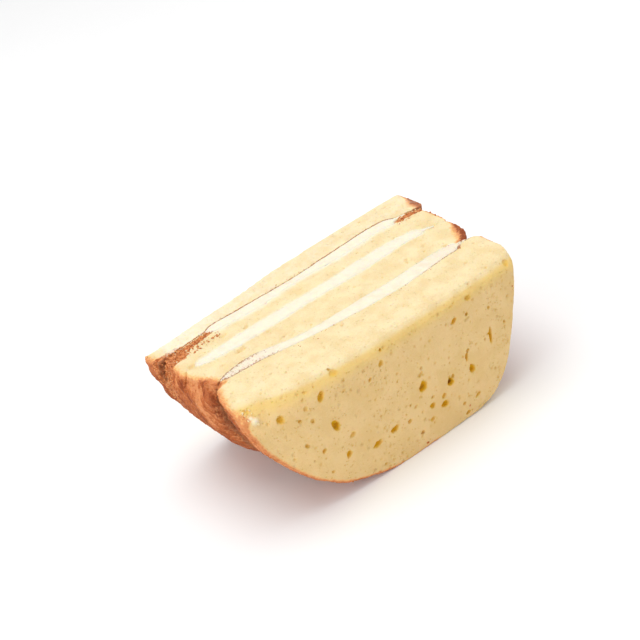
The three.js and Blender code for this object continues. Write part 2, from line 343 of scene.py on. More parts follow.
def tube_mesh(name, loops):
    """Closes a run of loops into a shell, with a fan over each end."""
    n, k = loops.shape[:2]
    verts = np.vstack([loops.reshape(-1, 3), loops[0].mean(0), loops[-1].mean(0)])
    faces = []
    for c in range(n - 1):
        for i in range(k):
            j = (i + 1) % k
            faces.append((c * k + i, c * k + j, (c + 1) * k + j, (c + 1) * k + i))
    last = (n - 1) * k
    for i in range(k):
        j = (i + 1) % k
        faces.append((n * k, j, i))
        faces.append((n * k + 1, last + i, last + j))
    mesh = bpy.data.meshes.new(name)
    mesh.from_pydata(((verts + SHIFT) * MM).tolist(), [], faces)
    mesh.update()
    return mesh


def linked(name, data):
    """A new object in the scene, at the origin."""
    obj = bpy.data.objects.new(name, data)
    bpy.context.scene.collection.objects.link(obj)
    return obj


def applied(obj):
    """Swaps an object's mesh for its mesh with all modifiers applied."""
    graph = bpy.context.evaluated_depsgraph_get()
    seen = obj.evaluated_get(graph)
    mesh = bpy.data.meshes.new_from_object(seen, preserve_all_data_layers=True, depsgraph=graph)
    obj.modifiers.clear()
    obj.data = mesh
    mesh.name = obj.name
    return obj


def remeshed(name, loops, voxel):
    """An object with an even fine mesh over the shell that the loops describe."""
    obj = linked(name, tube_mesh(name, loops))
    fine = obj.modifiers.new("Fine", "REMESH")
    fine.mode = "VOXEL"
    fine.voxel_size = voxel * MM
    fine.adaptivity = 0
    fine.use_smooth_shade = True
    return applied(obj)


def read_points(mesh):
    """Places of a mesh's points in the millimetres of this script, and their normals."""
    read = []
    for name in ("co", "normal"):
        values = np.empty(len(mesh.vertices) * 3, np.float32)
        mesh.vertices.foreach_get(name, values)
        read.append(values.reshape(-1, 3).astype(float))
    return read[0] / MM - SHIFT, read[1]


def write_points(mesh, points):
    mesh.vertices.foreach_set("co", ((points + SHIFT) * MM).astype(np.float32).ravel())
    mesh.update()


def write_marks(mesh, marks):
    for name, values in marks.items():
        layer = mesh.attributes.new(name, "FLOAT", "POINT")
        layer.data.foreach_set("value", np.asarray(values, np.float32))


def rim_survey(points):
    """Share along the outline and distance outside it, for each point's x and z."""
    xz = points[:, [0, 2]]
    parts = np.array_split(xz, len(xz) // SURVEY_PART + 1)
    nearest = np.concatenate([((part[:, None] - RIM_PLACES) ** 2).sum(2).argmin(1) for part in parts])
    beyond = ((xz - RIM_PLACES[nearest]) * RIM_OUT[nearest]).sum(1)
    return RIM_SHARE[nearest], beyond


def crust_depth(points, share, beyond, rim_sizes, y_back, y_front):
    """Distance inward from the baked rim surface."""
    y = points[:, 1]
    inset = np.zeros(len(points))
    sizes = fitted_shoulders(rim_sizes, share, y_back - y_front)
    for size, offset in zip(sizes, (y_back - y, y - y_front)):
        u = 1 - np.clip(offset / size[1], 0, 1)
        inset = np.maximum(inset, size[0] * (1 - np.sqrt(np.clip(1 - u * u, 0, 1))))
    return growth_at(rim_sizes["growth"], share) + RIM_BULGE - inset - beyond


# Open bubbles of the front face, as x, z, width, height, tilt in degrees and depth
FRONT_BUBBLES = [
    (-8.5, 46.4, 1.3, 1.2, 0, 1.0), (-9.9, 41.7, 2.2, 2.0, 30, 1.1), (-15.5, 38.3, 1.4, 1.3, 0, 0.9),
    (-25.1, 43.6, 1.0, 1.0, 0, 0.5), (-26.9, 47.6, 3.4, 2.2, 10, 0.8), (-27.4, 49.0, 1.2, 1.1, 0, 0.9),
    (-34.2, 42.5, 2.4, 3.6, -35, 1.4), (-38.6, 46.2, 1.3, 1.3, 0, 0.5), (-40.3, 44.1, 0.9, 0.9, 0, 0.7),
    (-40.5, 41.1, 1.5, 2.2, 0, 0.6), (-49.2, 41.1, 2.2, 3.2, -10, 1.3), (-43.7, 37.7, 1.5, 1.3, 0, 0.9),
    (-39.5, 35.7, 1.8, 1.6, 20, 0.7), (-32.1, 29.3, 2.7, 4.2, 5, 1.9), (-27.2, 22.5, 2.2, 2.2, 0, 0.8),
    (-43.8, 27.4, 1.3, 1.7, 0, 1.0), (-38.7, 22.5, 1.6, 1.9, -20, 1.1),
    (-30.5, 16.1, 1.9, 2.9, -15, 1.5), (-19.2, 13.3, 4.4, 1.7, 18, 1.5),
    (-11.4, 14.9, 4.2, 1.9, 18, 1.7), (-14.4, 16.1, 0.8, 0.8, 0, 0.6), (-4.9, 14.1, 1.7, 1.6, 20, 0.9),
    (-4.9, 20.5, 1.0, 0.9, 0, 0.5), (-1.3, 18.1, 1.9, 1.1, 30, 0.5), (4.1, 9.2, 2.2, 1.4, 15, 0.9),
    (5.5, 14.3, 2.6, 1.9, 35, 1.4), (10.6, 11.8, 2.8, 2.7, 0, 1.8), (10.9, 15.1, 2.4, 1.6, 35, 1.0),
    (6.4, 17.4, 2.0, 0.9, 10, 0.5), (14.9, 18.7, 2.6, 3.2, -35, 2.3), (16.4, 20.3, 1.5, 1.2, 30, 1.0),
    (3.7, 23.7, 3.6, 3.4, 25, 2.0), (3.7, 28.7, 2.4, 1.6, 20, 0.6), (4.7, 30.7, 1.0, 0.9, 0, 0.5),
    (25.1, 18.3, 2.5, 3.4, -15, 1.8), (23.9, 24.0, 1.3, 3.2, -18, 1.5), (24.9, 26.0, 1.4, 1.2, 0, 1.1),
    (35.8, 26.2, 1.7, 5.8, -6, 1.6), (22.3, 40.1, 1.7, 2.4, -25, 1.4), (27.9, 39.6, 1.4, 1.3, 0, 1.1),
    (28.4, 38.0, 0.8, 0.8, 0, 0.6), (37.6, 36.7, 1.3, 1.2, 0, 0.8), (43.0, 27.5, 1.3, 1.2, 0, 0.8),
    (30.0, 45.2, 2.9, 2.1, 15, 0.9), (25.0, 6.9, 2.7, 1.3, 20, 1.0), (18.5, 6.9, 1.3, 1.3, 0, 0.9),
    (19.2, 2.6, 2.0, 1.5, 25, 1.1), (-1.1, 6.6, 1.7, 1.4, 20, 0.7), (-18.3, 3.9, 1.4, 1.2, 0, 0.6),
    (-37.9, 13.0, 1.4, 1.1, 0, 0.7), (7.5, 41.3, 1.1, 1.0, 0, 0.4), (10.6, 29.3, 1.1, 1.0, 0, 0.4),
    (-26.0, 40.0, 1.8, 1.3, 10, 0.4), (50.4, 47.7, 2.8, 2.2, 10, 0.7), (-57.2, 46.8, 2.0, 1.6, 20, 0.7),
]

# Dimples and specks of the cut, as x, y, length, width, tilt in degrees and depth
CUT_DIMPLES = [
    (-37.6, 15.4, 3.2, 2.2, 25, 0.7), (-29.4, 12.6, 3.4, 1.6, 35, 0.6), (-33.4, 10.3, 1.8, 1.4, 0, 0.5),
    (-55.0, 8.9, 3.4, 2.6, 20, 0.8), (-39.0, 1.7, 4.6, 2.4, 12, 0.9), (-48.0, -0.5, 2.2, 1.3, 10, 0.5),
    (-26.2, 2.7, 2.6, 1.2, 10, 0.4), (-23.0, 1.8, 2.2, 1.0, 15, 0.4), (-25.3, -5.0, 3.4, 1.4, 12, 0.5),
    (-22.2, -6.7, 2.0, 1.0, 12, 0.4), (51.6, 5.4, 3.6, 1.7, 15, 0.6), (41.0, -2.6, 3.0, 1.7, 10, 0.6),
    (30.4, -5.3, 1.4, 5.0, -28, 0.7), (44.9, -10.6, 2.2, 2.6, -20, 0.9),
    (-50.4, 18.5, 1.2, 1.0, 0, 0.9), (-16.1, 19.3, 0.8, 0.8, 0, 0.6), (-3.3, 15.1, 1.3, 1.0, 0, 0.4),
    (-3.0, 11.9, 0.8, 0.8, 0, 0.4), (-37.5, -18.8, 1.3, 1.0, 20, 0.5), (-32.4, -25.9, 1.3, 1.0, 0, 0.5),
    (-55.5, -17.5, 1.3, 1.0, 0, 0.6), (23.8, -30.0, 0.9, 0.8, 0, 0.6), (41.0, -25.9, 1.3, 1.0, 0, 0.6),
    (51.0, -27.7, 1.0, 0.9, 0, 0.4), (51.6, -17.9, 1.2, 0.9, 0, 0.8), (5.8, -9.7, 0.8, 0.8, 0, 0.4),
    (-28.5, 33.0, 1.0, 0.8, 0, 0.4), (51.3, 34.0, 1.6, 1.2, 0, 0.4),
]
# Torn lumps of pale crumb at the left end of the front slice, as x, y, z, radius and height
FRONT_LUMPS = [
    (-56.4, -29.7, 43.5, 1.6, 1.1), (-57.1, -28.7, 44.6, 1.0, 0.7),
]
BUBBLE_SEED = 11
SMALL_BUBBLE = 1.25
LOOSE_DEPTH = 1.6
BUBBLE_WOBBLE = (0.12, 0.06, 0.03)
BUBBLE_ROUND = 0.7  # power of the bubble's bowl: a half is a sharp-edged bowl, one a shallow dish


def random_bubbles(rng, count, x_range, v_range, size_range):
    """A list of loose bubbles like the named ones, more of them small than large."""
    bubbles = []
    for _ in range(count):
        size = mix(size_range[0], size_range[1], rng.random() ** 3)
        shape = mix(0.6, 1.0, rng.random())
        depth = min(size * mix(0.35, 0.62, rng.random()), LOOSE_DEPTH)
        place = (rng.uniform(*x_range), rng.uniform(*v_range))
        bubbles.append((*place, size, size * shape, rng.uniform(-60, 60), depth))
    return bubbles


def refine_bubbles(mesh, bubbles, axis, side):
    """Splits the faces around the larger bubbles, so that their edges come out round."""
    points, normals = read_points(mesh)
    u_axis, v_axis = [(0, 2), (0, 1)][axis == 2]
    near = np.zeros(len(points), bool)
    for u0, v0, wide, tall, *_ in bubbles:
        if max(wide, tall) > SMALL_BUBBLE:
            reach = max(wide, tall) / 2 + 0.5
            near |= np.hypot(points[:, u_axis] - u0, points[:, v_axis] - v0) < reach
    near &= normals[:, axis] * side > 0.15
    work = bmesh.new()
    work.from_mesh(mesh)
    work.verts.ensure_lookup_table()
    edges = [e for e in work.edges if near[e.verts[0].index] and near[e.verts[1].index]]
    bmesh.ops.subdivide_edges(work, edges=edges, cuts=1, use_grid_fill=True)
    work.to_mesh(mesh)
    work.free()
    mesh.update()


def open_bubbles(points, normals, bubbles, axis, side, rng):
    """Sinks bubbles into the face that looks along one axis; returns how deep in a bubble each point lies,
    as the strength of painted shade inside the bubbles.
    """
    u_axis, v_axis = [(0, 2), (0, 1)][axis == 2]
    facing = np.clip(normals[:, axis] * side * 1.6 - 0.2, 0, 1)
    looking = np.flatnonzero(facing > 0)
    u, v = points[looking, u_axis].copy(), points[looking, v_axis].copy()
    hole_shade = np.zeros(len(points))
    for u0, v0, wide, tall, tilt, depth in bubbles:
        phase = rng.uniform(0, 2 * math.pi, 3)
        near = np.flatnonzero((np.abs(u - u0) < wide + tall) & (np.abs(v - v0) < wide + tall))
        if not len(near):
            continue
        angle = math.radians(tilt)
        du, dv = u[near] - u0, v[near] - v0
        a = (du * math.cos(angle) + dv * math.sin(angle)) / (wide / 2)
        b = (dv * math.cos(angle) - du * math.sin(angle)) / (tall / 2)
        turn = np.arctan2(b, a)
        wobble = 1.0
        for waves, strength, start in zip((2, 3, 5), BUBBLE_WOBBLE, phase):
            wobble = wobble + strength * np.sin(waves * turn + start)
        q = np.hypot(a, b) * wobble
        bowl = np.clip(1 - q * q, 0, 1) ** BUBBLE_ROUND
        ids = looking[near]
        points[ids, axis] -= side * depth * bowl * facing[ids]
        # Painted shade: the tint is stronger towards the lower side of each bubble, and stronger where the
        # bubble is deeper
        lower = np.clip(0.85 - 0.25 * dv / (tall / 2), 0.6, 1.1)
        tint = smooth((1.35 - q) / 0.75) * np.clip(depth / 1.3, 0.35, 2) * lower
        hole_shade[ids] = np.maximum(hole_shade[ids], tint * facing[ids])
    return hole_shade


# Streaks of the rim: their slant to the front for each millimetre down, width and rate of change along them
STREAK_SLANT = 0.7
STREAK_WIDTH = 1.3
STREAK_STRETCH = 0.12


class Wiring:
    """Adds nodes to one tree and joins them up."""

    def __init__(self, tree):
        self.tree = tree

    def feed(self, socket, value):
        if isinstance(value, bpy.types.NodeSocket):
            self.tree.links.new(value, socket)
        else:
            socket.default_value = value

    def add(self, kind, settings=None, **inputs):
        made = self.tree.nodes.new(kind)
        for name, value in (settings or {}).items():
            setattr(made, name, value)
        for name, value in inputs.items():
            self.feed(made.inputs[name.replace("_", " ")], value)
        return made

    def math(self, operation, *values, clamp=False):
        made = self.tree.nodes.new("ShaderNodeMath")
        made.operation = operation
        made.use_clamp = clamp
        for socket, value in zip(made.inputs, values):
            self.feed(socket, value)
        return made.outputs[0]

    def chain(self, operation, values):
        total = values[0]
        for value in values[1:]:
            total = self.math(operation, total, value)
        return total

    def times(self, *values):
        return self.chain("MULTIPLY", values)

    def plus(self, *values):
        return self.chain("ADD", values)

    def less(self, value, taken):
        return self.math("SUBTRACT", value, taken)

    def other(self, share):
        """What a share leaves of one."""
        return self.less(1.0, share)

    def scaled(self, vector, factor):
        made = self.tree.nodes.new("ShaderNodeVectorMath")
        made.operation = "SCALE"
        self.feed(made.inputs[0], vector)
        self.feed(made.inputs["Scale"], factor)
        return made.outputs[0]

    def step(self, value, low, high, to_low=0.0, to_high=1.0):
        """Eases from one output to the other as the value goes from low to high."""
        made = self.add("ShaderNodeMapRange", {"interpolation_type": "SMOOTHSTEP"}, Value=value)
        ends = ("From Min", "From Max", "To Min", "To Max")
        for name, number in zip(ends, (low, high, to_low, to_high)):
            self.feed(made.inputs[name], number)
        return made.outputs[0]

    def noise(self, vector, size, detail=2.0, rough=0.5):
        """Soft noise from 0 to 1 whose lumps are about this many millimetres across."""
        inputs = {"Vector": vector, "Scale": 1 / size, "Detail": detail, "Roughness": rough}
        return self.add("ShaderNodeTexNoise", **inputs).outputs[0]

    def wave(self, vector, size, detail=2.0, rough=0.5):
        """The same noise around zero."""
        return self.less(self.noise(vector, size, detail, rough), 0.5)

    def pits(self, vector, spacing):
        """Cells this far apart: distance to the nearest middle, and two random shares of each cell."""
        cells = self.add("ShaderNodeTexVoronoi", Vector=vector, Scale=self.math("DIVIDE", 1.0, spacing))
        chance = self.add("ShaderNodeSeparateXYZ", Vector=cells.outputs["Color"]).outputs
        return cells.outputs["Distance"], chance[0], chance[1]

    def mark(self, name):
        """A mark of the shell, as a value."""
        if self.tree.type == "GEOMETRY":
            return self.add("GeometryNodeInputNamedAttribute", {"data_type": "FLOAT"}, Name=name).outputs[0]
        return self.add("ShaderNodeAttribute", {"attribute_name": name}).outputs["Fac"]

    def place(self):
        """Object coordinates of a surface, in millimetres."""
        return self.scaled(self.add("ShaderNodeTexCoord").outputs["Object"], 1 / MM)

    def streaked(self, place):
        """Stretches places, so that noise on them makes slanting streaks along the rim."""
        parts = self.add("ShaderNodeSeparateXYZ", Vector=place).outputs
        across = self.less(parts[1], self.times(parts[2], STREAK_SLANT))
        x, z = (self.times(parts[k], STREAK_STRETCH) for k in (0, 2))
        y = self.math("DIVIDE", across, STREAK_WIDTH)
        return self.add("ShaderNodeCombineXYZ", X=x, Y=y, Z=z).outputs[0]

    def colour_mix(self, factor, first, second):
        made = self.add("ShaderNodeMix", {"data_type": "RGBA"})
        for k, value in ((0, factor), (6, first), (7, second)):
            self.feed(made.inputs[k], value)
        return made.outputs[2]


def new_group(name, kind, takes, gives):
    """Wiring of a new node group and what it is given; a socket is a name, a kind and maybe a value."""
    tree = bpy.data.node_groups.new(name, kind)
    for way, rows in (("INPUT", takes), ("OUTPUT", gives)):
        for label, socket_kind, *value in rows:
            made = tree.interface.new_socket(label, in_out=way, socket_type="NodeSocket" + socket_kind)
            if value:
                made.default_value = value[0]
    w = Wiring(tree)
    return w, w.add("NodeGroupInput").outputs


def relief_tree():
    """Small relief of a shell: pores of the crumb, wrinkles of the crust and crags of the torn places."""
    takes = [("Geometry", "Geometry"), ("Material", "Material")]
    takes += [(name, "Float", value) for name, value in RELIEF.items()]
    w, given = new_group("Crumb and crust relief", "GeometryNodeTree", takes, [("Geometry", "Geometry")])
    place = w.scaled(w.add("GeometryNodeInputPosition").outputs[0], 1 / MM)
    torn, cut = w.mark("torn"), w.mark("cut")
    crusted = w.step(w.mark("crust_depth"), 0.5, 1.4, 1.0, 0.0)
    crumb = w.times(w.other(crusted), w.other(torn))
    distance, large, kept = w.pits(place, given["Pore Spacing"])
    radius = w.times(given["Pore Size"], w.step(large, 0.0, 1.0, 0.5, 1.0))
    away = w.math("DIVIDE", w.times(distance, given["Pore Spacing"]), radius)
    bowl = w.math("SQRT", w.math("MAXIMUM", w.other(w.math("POWER", away, 2.0)), 0.0))
    fewer = w.other(w.times(cut, 0.75))
    some = w.math("LESS_THAN", kept, w.times(given["Pore Share"], fewer))
    pore = w.times(bowl, some, crumb)
    sunk = w.times(pore, radius, -0.9)
    grain = w.times(w.wave(place, 1.3), given["Grain"], w.other(w.times(cut, 0.45)))
    swell = w.times(w.wave(place, 9.0, 1.0), given["Swell"])
    folds = w.times(w.math("ABSOLUTE", w.wave(place, 2.2, 3.0)), -1.4)
    wrinkled = w.times(w.plus(w.wave(place, 4.0, 3.0), folds), given["Wrinkles"], crusted)
    crags = w.times(w.wave(place, 1.7, 4.0, 0.65), given["Crags"], torn)
    streaks = w.wave(w.streaked(place), 1.0, 3.0)
    ridges = w.times(w.times(streaks, given["Ridges"]), w.times(crusted, w.mark("ridge")))
    total = w.plus(sunk, grain, swell, wrinkled, crags, ridges)
    offset = w.scaled(w.add("GeometryNodeInputNormal").outputs[0], w.times(total, MM))
    moved = w.add("GeometryNodeSetPosition", Geometry=given["Geometry"], Offset=offset)
    # The pore depth is stored for the sponge colour, which paints shade into the pores
    layer = {"data_type": "FLOAT", "domain": "POINT"}
    stored = {"Geometry": moved.outputs[0], "Name": "pore", "Value": pore}
    marked = w.add("GeometryNodeStoreNamedAttribute", layer, **stored)
    finished = w.add("GeometryNodeSetMaterial", Geometry=marked.outputs[0], Material=given["Material"])
    w.add("NodeGroupOutput", Geometry=finished.outputs[0])
    return w.tree


# Small relief in millimetres
RELIEF = {
    "Pore Spacing": 2.0,
    "Pore Size": 0.62,
    "Pore Share": 0.42,
    "Grain": 0.32,
    "Swell": 0.5,
    "Wrinkles": 0.8,
    "Crags": 3.4,
    "Ridges": 2.2,
}
CREAM_RELIEF = {"Pore Share": 0.0, "Grain": 0.5, "Swell": 0.4, "Wrinkles": 0.0, "Crags": 0.0, "Ridges": 0.0}


def grown(obj, tree, values):
    """Applies a geometry tree, and presses any point outside the cake's own box back onto it."""
    added = obj.modifiers.new(tree.name, "NODES")
    added.node_group = tree
    names = {item.name: item.identifier for item in tree.interface.items_tree if item.in_out == "INPUT"}
    for name, value in values.items():
        added[names[name]] = value
    applied(obj)
    low, high = (np.array(corner) / MM - SHIFT for corner in CAD_BOX)
    write_points(obj.data, np.clip(read_points(obj.data)[0], low, high))
    return obj


# Colours
CRUMB_SIDE = (0.815, 0.58, 0.275, 1)
# Paler crumb of the cut: partly the fresh crumb's own colour, partly painted sheen of the lit top
CRUMB_CUT_AND_SHEEN = (0.86, 0.715, 0.43, 1)
# Painted glow: a warm band of light just below the lit top edge of an outer face
CRUMB_GLOW = (0.84, 0.60, 0.20, 1)
CRUMB_SHADE = (0.68, 0.44, 0.15, 1)
# Painted shade inside pores, dimples and bubbles, and deeper painted shade inside the larger bubbles
CRUMB_PIT_SHADE = (0.76, 0.43, 0.012, 1)
CRUMB_HOLLOW_SHADE = (0.33, 0.11, 0.01, 1)
CREAM_WHITE = (0.865, 0.795, 0.625, 1)
CREAM_WARM = (0.83, 0.70, 0.54, 1)
CRUST_DARK = (0.29, 0.062, 0.012, 1)
CRUST_WARM = (0.49, 0.135, 0.036, 1)
CRUST_LIGHT = (0.72, 0.285, 0.105, 1)
CRUST_EDGE = (0.86, 0.47, 0.17, 1)
SKIN_LINE = (0.40, 0.15, 0.06, 1)

# What all the shaders of the food share: a dull surface that light passes into a little, deepest in red
FOOD_SHADER = {
    "Specular_IOR_Level": 0.25,
    "Subsurface_Radius": (1.0, 0.55, 0.22),
    "Subsurface_Scale": 2.2 * MM,
}


def grain_group():
    """Fine crumb: uneven tone, small open pores and the height of both."""
    takes = [("Vector", "Vector"), ("Pore Spacing", "Float", 0.95)]
    gives = [(name, "Float") for name in ("Tone", "Pores", "Height")]
    w, given = new_group("Crumb grain", "ShaderNodeTree", takes, gives)
    place = w.scaled(given["Vector"], 1 / MM)
    broad = w.times(w.noise(place, 7.0, 2.0), 0.6)
    tone = w.plus(broad, w.times(w.noise(place, 0.55, 3.0, 0.7), 0.4))
    distance, large, kept = w.pits(place, given["Pore Spacing"])
    size = w.step(large, 0.0, 1.0, 0.12, 0.34)
    bowl = w.step(w.math("DIVIDE", distance, size), 0.5, 1.1, 1.0, 0.0)
    pores = w.times(bowl, w.math("LESS_THAN", kept, 0.45))
    height = w.less(w.times(w.noise(place, 0.55, 4.0, 0.6), 0.6), pores)
    w.add("NodeGroupOutput", Tone=tone, Pores=pores, Height=height)
    return w.tree


def crust_group():
    """Baked surface: its colour from how deep it is baked and how dark it is, a darkness of baking with
    painted shade in the furrows of the rim, its cover and its height.
    """
    takes = [("Vector", "Vector"), ("Depth", "Float", 1.0), ("Bake", "Float", 0.5), ("Ridge", "Float", 0.0)]
    gives = [("Colour", "Color"), ("Cover", "Float"), ("Height", "Float")]
    w, given = new_group("Baked crust", "ShaderNodeTree", takes, gives)
    place = w.scaled(given["Vector"], 1 / MM)
    patches = w.noise(place, 5.0, 4.0, 0.6)
    flecks = w.noise(place, 1.1, 4.0, 0.7)
    uneven = w.plus(given["Depth"], w.times(w.less(flecks, 0.5), 1.6))
    cover = w.step(uneven, 0.8, 1.6, 1.0, 0.0)
    blotched = w.less(1.7, w.times(given["Ridge"], 0.8))
    streaky = w.plus(0.2, w.times(given["Ridge"], 1.5))
    streaks = w.noise(w.streaked(place), 1.0, 2.0)
    dark = given["Bake"]
    for pattern, strength in ((patches, blotched), (flecks, 2.0), (streaks, streaky)):
        dark = w.plus(dark, w.times(w.less(pattern, 0.5), strength))
    warm = w.colour_mix(w.step(dark, 0.0, 0.65), CRUST_LIGHT, CRUST_WARM)
    baked = w.colour_mix(w.step(dark, 0.6, 1.15), warm, CRUST_DARK)
    under = w.colour_mix(w.step(uneven, 0.25, 0.65), baked, CRUST_LIGHT)
    colour = w.colour_mix(w.step(uneven, 0.6, 1.15), under, CRUST_EDGE)
    height = w.plus(w.times(flecks, 0.7), w.times(w.noise(place, 0.4, 2.0), 0.3))
    w.add("NodeGroupOutput", Colour=colour, Cover=cover, Height=height)
    return w.tree


def new_material(name):
    made = bpy.data.materials.new(name)
    made.use_nodes = True
    made.node_tree.nodes.clear()
    return made, Wiring(made.node_tree)


def finish_shader(w, colour, roughness, height, strength, distance, soft):
    """The one shader of a material, with light passing a little way into the food."""
    bump = w.add("ShaderNodeBump", Strength=strength, Distance=distance * MM, Height=height)
    inputs = {"Base_Color": colour, "Roughness": roughness, "Normal": bump.outputs[0]}
    shader = w.add("ShaderNodeBsdfPrincipled", **inputs, **FOOD_SHADER)
    shader.inputs["Subsurface Weight"].default_value = soft
    w.add("ShaderNodeOutputMaterial", Surface=shader.outputs[0])


def sponge_material(grain, crust):
    made, w = new_material("Sponge")
    place = w.add("ShaderNodeTexCoord").outputs["Object"]
    mm = w.scaled(place, 1 / MM)

    def roughened(name, size, amount):
        """A mark with an uneven edge."""
        return w.plus(w.mark(name), w.times(w.wave(mm, size, 3.0, 0.6), amount))

    fine = w.add("ShaderNodeGroup", {"node_tree": grain}, Vector=place).outputs
    baking = {"Depth": w.mark("crust_depth"), "Bake": w.mark("bake_and_furrow_shade"), "Ridge": w.mark("ridge")}
    baked = w.add("ShaderNodeGroup", {"node_tree": crust}, Vector=place, **baking).outputs
    cut, hole_shade = w.mark("cut"), w.mark("hole_shade")
    # Painted shade: fine pores, the pores of the relief, dimples and bubbles are tinted darker and more
    # golden, the deepest bubbles darker still
    specks = w.times(fine["Pores"], 0.42, w.other(w.times(cut, 0.7)))
    torn = w.colour_mix(w.step(w.noise(mm, 0.9, 3.0, 0.6), 0.4, 0.58), CRUST_WARM, CRUST_LIGHT)
    torn = w.colour_mix(w.step(w.noise(mm, 1.2, 4.0, 0.7), 0.48, 0.38), torn, CRUST_DARK)
    pitted = w.times(fine["Pores"], 0.4, w.mark("skin"))
    line = w.step(w.plus(roughened("skin", 1.2, 0.9), pitted), 0.6, 0.85, 0.0, 0.9)
    colour = CRUMB_SIDE
    for factor, over in (
        # Pale cut: partly the fresh crumb's own colour, partly painted sheen, with a painted highlight on
        # the rounded top edge
        (cut, CRUMB_CUT_AND_SHEEN),
        # Painted glow under the lit top edge of an outer face
        (w.times(w.mark("painted_glow"), 0.75), CRUMB_GLOW),
        (w.step(fine["Tone"], 0.38, 0.62, 0.0, 0.36), CRUMB_SHADE),
        # Painted shade in pores, dimples and bubbles
        (specks, CRUMB_PIT_SHADE),
        (w.times(w.mark("pore"), 0.4), CRUMB_PIT_SHADE),
        (w.math("MULTIPLY", hole_shade, 0.9, clamp=True), CRUMB_PIT_SHADE),
        (w.step(hole_shade, 1.2, 1.8), CRUMB_HOLLOW_SHADE),
        # Crust, darkened by its baking and by painted shade in the furrows of the rim
        (baked["Cover"], baked["Colour"]),
        (w.step(roughened("torn", 1.3, 0.9), 0.35, 0.6), torn),
        # Cream smears, and painted glare that whitens the back slice's cut
        (w.step(roughened("cream_smear_and_glare", 2.4, 0.8), 0.1, 1.0), CREAM_WHITE),
        (line, SKIN_LINE),
        (w.times(w.mark("raised"), 0.8), CREAM_WHITE),
    ):
        colour = w.colour_mix(factor, colour, over)
    roughness = w.step(baked["Cover"], 0.0, 1.0, 0.88, 0.62)
    height = w.plus(fine["Height"], w.times(baked["Height"], baked["Cover"]))
    finish_shader(w, colour, roughness, height, 0.85, 0.3, 0.3)
    return made


def cream_material():
    made, w = new_material("Cream")
    mm, soil = w.place(), w.mark("soil")
    warm = w.plus(w.noise(mm, 3.0, 3.0), w.times(soil, 0.5))
    colour = w.colour_mix(w.step(warm, 0.4, 0.9), CREAM_WHITE, CREAM_WARM)
    flecks = w.times(w.wave(mm, 0.7, 4.0, 0.7), 3.0)
    colour = w.colour_mix(w.step(w.plus(soil, flecks), 0.66, 0.86, 0.0, 0.8), colour, SKIN_LINE)
    finish_shader(w, colour, 0.45, w.noise(mm, 0.8, 4.0, 0.6), 0.3, 0.2, 0.35)
    return made


def crumb_material(name, low, high):
    """Loose crumbs, uneven between two colours."""
    made, w = new_material(name)
    mm = w.place()
    colour = w.colour_mix(w.step(w.noise(mm, 1.1, 2.0), 0.3, 0.7), low, high)
    finish_shader(w, colour, 0.85, w.noise(mm, 0.3, 2.0), 0.4, 0.15, 0.2)
    return made


# Torn strips of brown crumb on the cut, as x and y of their edges
TORN_LOW = ((-60, 14.5), (-57, 15.5), (-54, 18), (-51, 18.5), (-46, 19.6), (-42.4, 20.3), (-37.9, 20.8))
TORN_HIGH = ((-60, 24.5), (-57, 22.8), (-52, 21.9), (-49.5, 21.9), (-44, 22.7), (-40.3, 22.6), (-36, 21.4))
TORN_RIGHT_LOW = ((45, 20.6), (48.8, 19.2), (53, 19.0), (56, 18.2), (58, 17.6))
TORN_RIGHT_HIGH = ((45, 21.8), (48.8, 21.2), (53, 22.0), (56, 21.0), (58, 19.4))

# Where the pale crumb of the cut ends near the left corner, as y and x, and how slowly it turns to crust
CRUMB_END = (
    (-30, -60.7), (-23.6, -59.1), (-19.6, -58.2), (-15.2, -56.5), (-11.3, -55.4), (-10.2, -51.2),
    (-6.4, -52.4), (-3.4, -53.5), (0.3, -55.9), (4.3, -57.5), (9.4, -58.5), (15.1, -57.2),
    (18.1, -55.2), (21.9, -57.8), (24.6, -59.4), (27.7, -60.0),
)
CRUMB_FADE = 3.2

# Thickness of the crust at the right corner, as y and times the usual
RIGHT_CRUST = (
    (-40, 0.7), (-14.6, 0.7), (-13.8, 3.2), (-5, 3.0), (0, 1.0), (4, 0.7), (18, 0.7), (19.6, 2.6),
    (27, 2.6), (31, 1.2), (34, 0.7), (38, 0.6),
)

